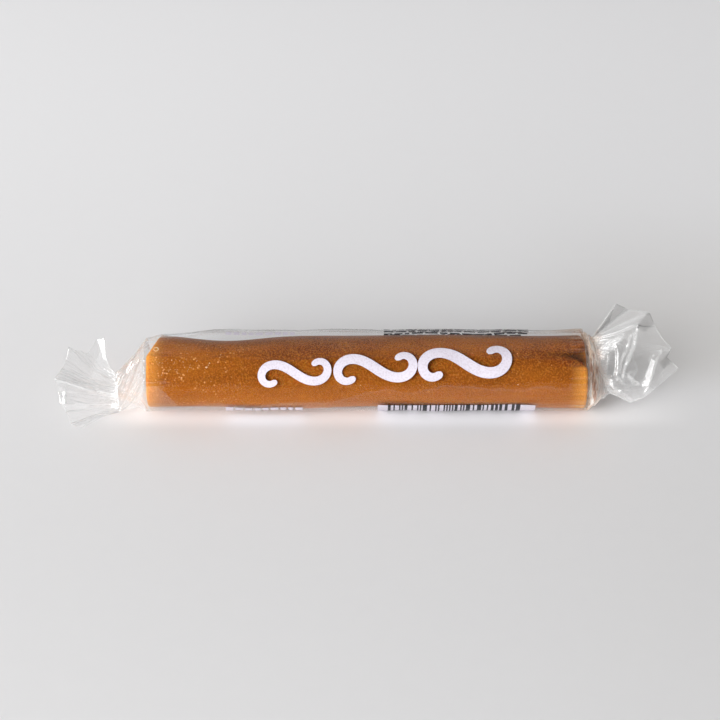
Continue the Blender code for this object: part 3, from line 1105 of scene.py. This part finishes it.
def film_finish(clouds):
    """Clear film: it reflects a little face on and nearly all at a glance. Where it lies wet on the
    caramel it hardly shows. Skirts and fans have a haze, folds and cut edges scatter more, and the
    gathers of the right skirt carry a painted warm reflection of the caramel, with painted brown
    reflection streaks and painted white highlight streaks."""
    film = Finish("clear film", clouds)
    x, _, z = film.axes(film.place)
    along = film.math("ABSOLUTE", x)
    # The second kept value marks the darker grey facets of the right fan
    bend, grey_facet = film.kept("bend"), film.kept("grey_facet")
    off, corner = film_stands_off(film, x, z, along)
    out = film.band(along, 40.1, 41.9)
    right = film.band(x, -10.0, 10.0)

    # Haze dulls the film's mirror
    close = film.product(film.band(along, 46.5, 42.5, 0.0, 0.3), out, film.range(right, 0, 1, 0.4, 0.75))
    left_haze = film.math("SUBTRACT", film.band(along, 45.5, 48.0, 0.26, 0.38), right)
    right_haze = film.product(right, film.band(along, 42.5, 46.0, 0.42, 0.6))
    milky = film.product(out, film.sum(film.most(left_haze, right_haze), close))
    film.feed("Metallic", film.range(milky, 0, 1, 0.95, 0.0))
    haze = film.cloudy(film.stretched(0.5, 1.0, 1.0), 420.0, 3.0, 0.3, 0.8)
    film.feed("Roughness", film.sum(film.range(haze, 0, 1, 0.05, 0.12), film.product(bend, 0.25)))

    # Painted reflection of the caramel in the gathered film: a warm tint and brown streaks, with painted
    # white highlight streaks
    near_ends = film.band(along, 44.8, 41.5)
    caramel_reflection = film.product(near_ends, film.band(x, 30.0, 40.0))
    cool = film.product(near_ends, film.band(x, -30.0, -40.0))
    gathered = film.product(caramel_reflection, film.band(along, 40.8, 41.8))
    brown_reflections = film.cloudy(film.stretched(1.3, 0.5, 0.5), 620.0, 2.0, 0.5, 0.58)
    brown_reflections = film.product(brown_reflections, gathered, film.band(z, 3.0, 8.0, 0.3, 1.0))
    white_highlights = film.cloudy(film.stretched(1.9, 0.45, 0.45), 700.0, 2.0, 0.51, 0.57)
    white_highlights = film.product(white_highlights, gathered)
    tint = film.layers(film.blend(cool, CLEAR, COOL_FILM), (caramel_reflection, CARAMEL_REFLECTION_FILM), (brown_reflections, BROWN_REFLECTION_STREAK))
    tint = film.layers(tint, (white_highlights, WHITE_HIGHLIGHT_STREAK), (grey_facet, GREY_FACET_FILM))
    film.feed("Base Color", tint)

    # How much of the film shows: the sum of all that makes it less clear
    facing = film.node("ShaderNodeLayerWeight")
    facing.inputs["Blend"].default_value = 0.5
    glance = film.math("POWER", facing.outputs["Facing"], 5.0)
    floorward = film.product(film.band(z, 9.5, 3.0, 0.0, 0.09), out, right)
    show = film.sum(
        film.range(off, 0, 1, 0.008, 0.024),
        film.product(out, film.range(right, 0, 1, 0.028, 0.04)),
        film.product(glance, 0.9),
        film.product(bend, film.range(right, 0, 1, 0.25, 0.42)),
        film.product(grey_facet, 0.06),
        film.product(close, right, 0.17),
        floorward,
        film.product(corner, 0.045),
        film.product(off, film.rest(off), 0.1),
        # The painted brown reflection streaks and white highlight streaks also make the film show more
        film.most(film.product(brown_reflections, 0.1), film.product(white_highlights, 0.42)),
    )
    path = film.node("ShaderNodeLightPath")
    lit = film.range(path.outputs["Is Shadow Ray"], 0, 1, 1.0, SHADOW_SHARE)
    film.feed("Alpha", film.product(film.math("MINIMUM", show, 1.0), lit))
    return film.surface


def caramel_finish(clouds):
    """Boiled sugar and cream drawn out along the stick, with painted shade on top, at the top of the
    right end and in the fold behind the lap, painted light low down, at the left and at the cut ends,
    fine bubbles all through and a patch of specks at the left end."""
    caramel = Finish(
        "soft caramel",
        clouds,
        Roughness=0.4,
        Specular_IOR_Level=0.12,
        Subsurface_Weight=0.7,
        Subsurface_Radius=(1.0, 0.35, 0.08),
        Subsurface_Scale=2.5 * MM,
    )
    x, _, z = caramel.axes(caramel.place)
    along = caramel.math("ABSOLUTE", x)
    drawn = caramel.stretched(0.3, 1.0, 1.0)
    clouded = caramel.cloudy(drawn, 190.0, 4.0, 0.3, 0.7)
    dark = caramel.cloudy(caramel.stretched(0.5, 1.0, 1.0), 240.0, 2.0, 0.48, 0.62)
    # Painted shade at the top of the right end, and painted light at the cut ends outside that shade
    shaded = caramel.product(caramel.band(x, 32.0, 37.0), caramel.band(z, 11.7, 12.4))
    cut = caramel.product(caramel.band(along, 37.2, 41.2, 0.0, 0.95), caramel.rest(shaded))
    streaks = caramel.cloudy(caramel.stretched(0.06, 1.0, 1.0), 900.0, 3.0, 0.4, 0.7)
    grain = caramel.cloudy(caramel.place, 3200.0, 2.0, 0.42, 0.68)
    cells = caramel.node("ShaderNodeTexVoronoi", feature="F1")
    cells.inputs["Scale"].default_value = 1500.0
    caramel.join(caramel.place, cells.inputs["Vector"])
    specks = caramel.range(cells.outputs["Distance"], 0.32, 0.16)
    patch = caramel.cloudy(caramel.place, 320.0, 1.0, 0.42, 0.62)
    specks = caramel.product(specks, patch, caramel.band(x, -20.0, -32.0, 0.2, 1.0))
    body = caramel.layers(
        caramel.blend(clouded, CARAMEL_DARK, CARAMEL_LIGHT),
        # Painted shade on top, in cloudy patches
        (caramel.product(dark, caramel.band(z, 12.2, 13.2, 0.0, 0.6)), CARAMEL_TOP_SHADE),
        # Painted light low down, where the floor's bounce lights the stick
        (caramel.band(z, 11.5, 3.5, 0.0, 0.55), CARAMEL_LIT_UNDER),
        # Painted light towards the left end, where the key light falls
        (caramel.band(x, -20.0, -40.0, 0.0, 0.35), CARAMEL_LIT_LEFT),
        # Painted light at the cut ends
        (cut, CARAMEL_LIT_END),
        (caramel.product(shaded, 0.6), CARAMEL_SHADED),
        # Painted shade in the fold behind the lap
        (caramel.product(caramel.kept("fold"), 0.9), CARAMEL_FOLD_SHADE),
        (caramel.product(streaks, 0.3), CARAMEL_STREAK),
        (caramel.product(grain, 0.6), CARAMEL_GRAIN),
        (caramel.product(specks, 0.75), CARAMEL_SPECK),
    )
    caramel.feed("Base Color", body)
    relief = caramel.sum(grain, caramel.cloudy(drawn, 600.0, 2.0, 0.3, 0.7))
    caramel.bump(relief, 0.7, 0.12 * MM)
    return caramel.surface


def ink_finish(name, clouds, full, thin, roughness):
    ink = Finish(name, clouds, Roughness=roughness)
    patchy = ink.cloudy(ink.place, 3200.0, 2.0, 0.45, 0.7)
    ink.feed("Base Color", ink.blend(patchy, full, thin))
    return ink.surface


def salt_finish(clouds):
    salt = Finish("salt and air bubbles", clouds, Roughness=0.15)
    tone = salt.cloudy(salt.place, 500.0, 1.0, 0.4, 0.6)
    salt.feed("Base Color", salt.blend(tone, SALT_DARK, SALT_LIGHT))
    return salt.surface


def paper_finish(clouds):
    """The pale sheet it lies on: faint mottling and fine grain, with painted light further back, a
    painted glow in a strip just before the stick, and a painted shadow by the right fan."""
    paper = Finish("pale paper", clouds, Roughness=0.75)
    x, y, _ = paper.axes(paper.place)
    # Painted glow: a strip of light on the paper just before the stick
    beside = paper.product(paper.band(x, -58.0, -38.0), paper.band(x, 64.0, 46.0))
    before = paper.product(paper.band(y, -9.0, -5.0), paper.band(y, 5.0, 1.0))
    # Painted shadow, a little darker by the right fan
    fan_shadow = paper.product(paper.band(x, 20.0, 60.0, 0.0, 0.5), paper.band(y, 70.0, 15.0))
    fan_shadow = paper.product(fan_shadow, paper.band(y, 0.0, 12.0, 0.15, 1.0))
    mottle = paper.cloudy(paper.place, 260.0, 6.0, 0.3, 0.7)
    tone = paper.layers(
        # Painted light: darker at the front, lighter further back
        paper.blend(paper.band(y, -60.0, 140.0), PAPER_SHADED_FRONT, PAPER_LIT_BACK),
        # Painted glow before the stick
        (paper.product(beside, before, 0.65), PAPER_PAINTED_GLOW),
        # Painted shadow by the right fan
        (fan_shadow, PAPER_PAINTED_SHADOW),
        (paper.product(mottle, 0.02), PAPER_MOTTLE),
    )
    paper.feed("Base Color", tone)
    paper.bump(paper.cloudy(paper.place, 1500.0, 4.0, 0.3, 0.7), 0.03, 0.1 * MM)
    return paper.surface


def finish_piece(piece, surface, slot, *nodes):
    piece.data.materials.clear()
    piece.data.materials.append(surface)
    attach(piece, "root")
    if nodes:
        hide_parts(*nodes)


# The photograph's view and light

ELEVATION = math.radians(40.0)
CAMERA_AWAY = 0.5
VIEW_ACROSS = 0.1352
AIM_X = -1.3 * MM
AIM_UP = 2.14 * MM
FILM_WALLS_SEEN_THROUGH = 48
FLOOR_SIZE = 4.0
FLOOR_GAP = 0.02 * MM


def make_camera():
    data = bpy.data.cameras.new("camera")
    data.lens = data.sensor_width * CAMERA_AWAY / VIEW_ACROSS
    camera = bpy.data.objects.new("camera", data)
    bpy.context.scene.collection.objects.link(camera)
    back = Vector((0.0, -math.cos(ELEVATION), math.sin(ELEVATION)))
    up = Vector((0.0, math.sin(ELEVATION), math.cos(ELEVATION)))
    aim = Vector((AIM_X, 0.0, CARAMEL_AXIS_Z)) + up * AIM_UP
    camera.location = aim + back * CAMERA_AWAY
    camera.rotation_euler = (math.radians(90.0) - ELEVATION, 0.0, 0.0)
    bpy.context.scene.camera = camera


def make_floor(clouds):
    place = (0.0, 0.0, -FLOOR_GAP)
    floor = fresh("floor", bpy.ops.mesh.primitive_plane_add, size=FLOOR_SIZE, location=place)
    floor.data.materials.append(paper_finish(clouds))


# Square soft lamps: degrees to the left of the camera, degrees up over the floor, how far away,
# their size and power, and whether gloss shows them
LAMPS = {
    "key": (52.0, 30.0, 1.15, 0.52, 7.6, True),
    "wide key": (52.0, 30.0, 1.15, 0.9, 13.0, False),
    "right fill": (-60.0, 25.0, 0.9, 0.5, 0.5, False),
    "low front fill": (15.0, 10.0, 0.9, 0.5, 3.2, False),
}


def make_lights():
    for name, (side, up, away, size, power, shiny) in LAMPS.items():
        lamp = bpy.data.lights.new(name, "AREA")
        lamp.shape = "SQUARE"
        lamp.size = size
        lamp.energy = power
        light = bpy.data.objects.new(name, lamp)
        bpy.context.scene.collection.objects.link(light)
        side, up = math.radians(side), math.radians(up)
        flat = Vector((-math.sin(side), -math.cos(side), 0.0)) * math.cos(up)
        towards = flat + Vector((0.0, 0.0, math.sin(up)))
        light.location = towards * away
        light.rotation_euler = towards.to_track_quat("Z", "Y").to_euler()
        light.visible_glossy = shiny


# The room's brightness from the back, 0, over the top, to the front, 1, as gloss shows it. It lights
# the rest by a share of that.
ROOM = ((0.0, 0.5), (0.38, 0.5), (0.46, 0.2), (0.6, 0.08), (0.8, 0.05), (1.0, 0.05))
ROOM_SHARE = 0.77


def make_surroundings():
    world = bpy.data.worlds.new("studio")
    bpy.context.scene.world = world
    world.use_nodes = True
    room = Wiring(world.node_tree)
    background = world.node_tree.nodes["Background"]
    _, y, z = room.axes(room.node("ShaderNodeTexCoord").outputs["Generated"])
    ramp = room.node("ShaderNodeValToRGB")
    room.join(room.math("DIVIDE", room.math("ARCTAN2", z, y), math.pi), ramp.inputs[0])
    steps = ramp.color_ramp.elements
    for position, _ in ROOM[1:-1]:
        steps.new(position)
    for step, (_, bright) in zip(steps, ROOM):
        step.color = (bright, bright, bright, 1.0)
    room.join(ramp.outputs[0], background.inputs["Color"])
    glossy = room.node("ShaderNodeLightPath").outputs["Is Glossy Ray"]
    room.join(room.range(glossy, 0, 1, ROOM_SHARE, 1.0), background.inputs["Strength"])


def main():
    scene = bpy.context.scene
    scene.view_settings.view_transform = "Standard"
    scene.cycles.transparent_max_bounces = FILM_WALLS_SEEN_THROUGH
    clouds = cloudy_group()
    finish_piece(make_caramel(), caramel_finish(clouds), "caramel", "caramel")
    finish_piece(make_salt(), salt_finish(clouds), "caramel")
    finish_piece(make_film(), film_finish(clouds), "film", "wrapper")
    white_ink = ink_finish("white ink", clouds, *WHITE_INK)
    black_ink = ink_finish("black ink", clouds, *BLACK_INK)
    for make in (make_scroll, make_block, make_marks):
        finish_piece(make(), white_ink, "film")
    finish_piece(make_bars(), black_ink, "film")
    make_camera()
    make_floor(clouds)
    make_lights()
    make_surroundings()


main()
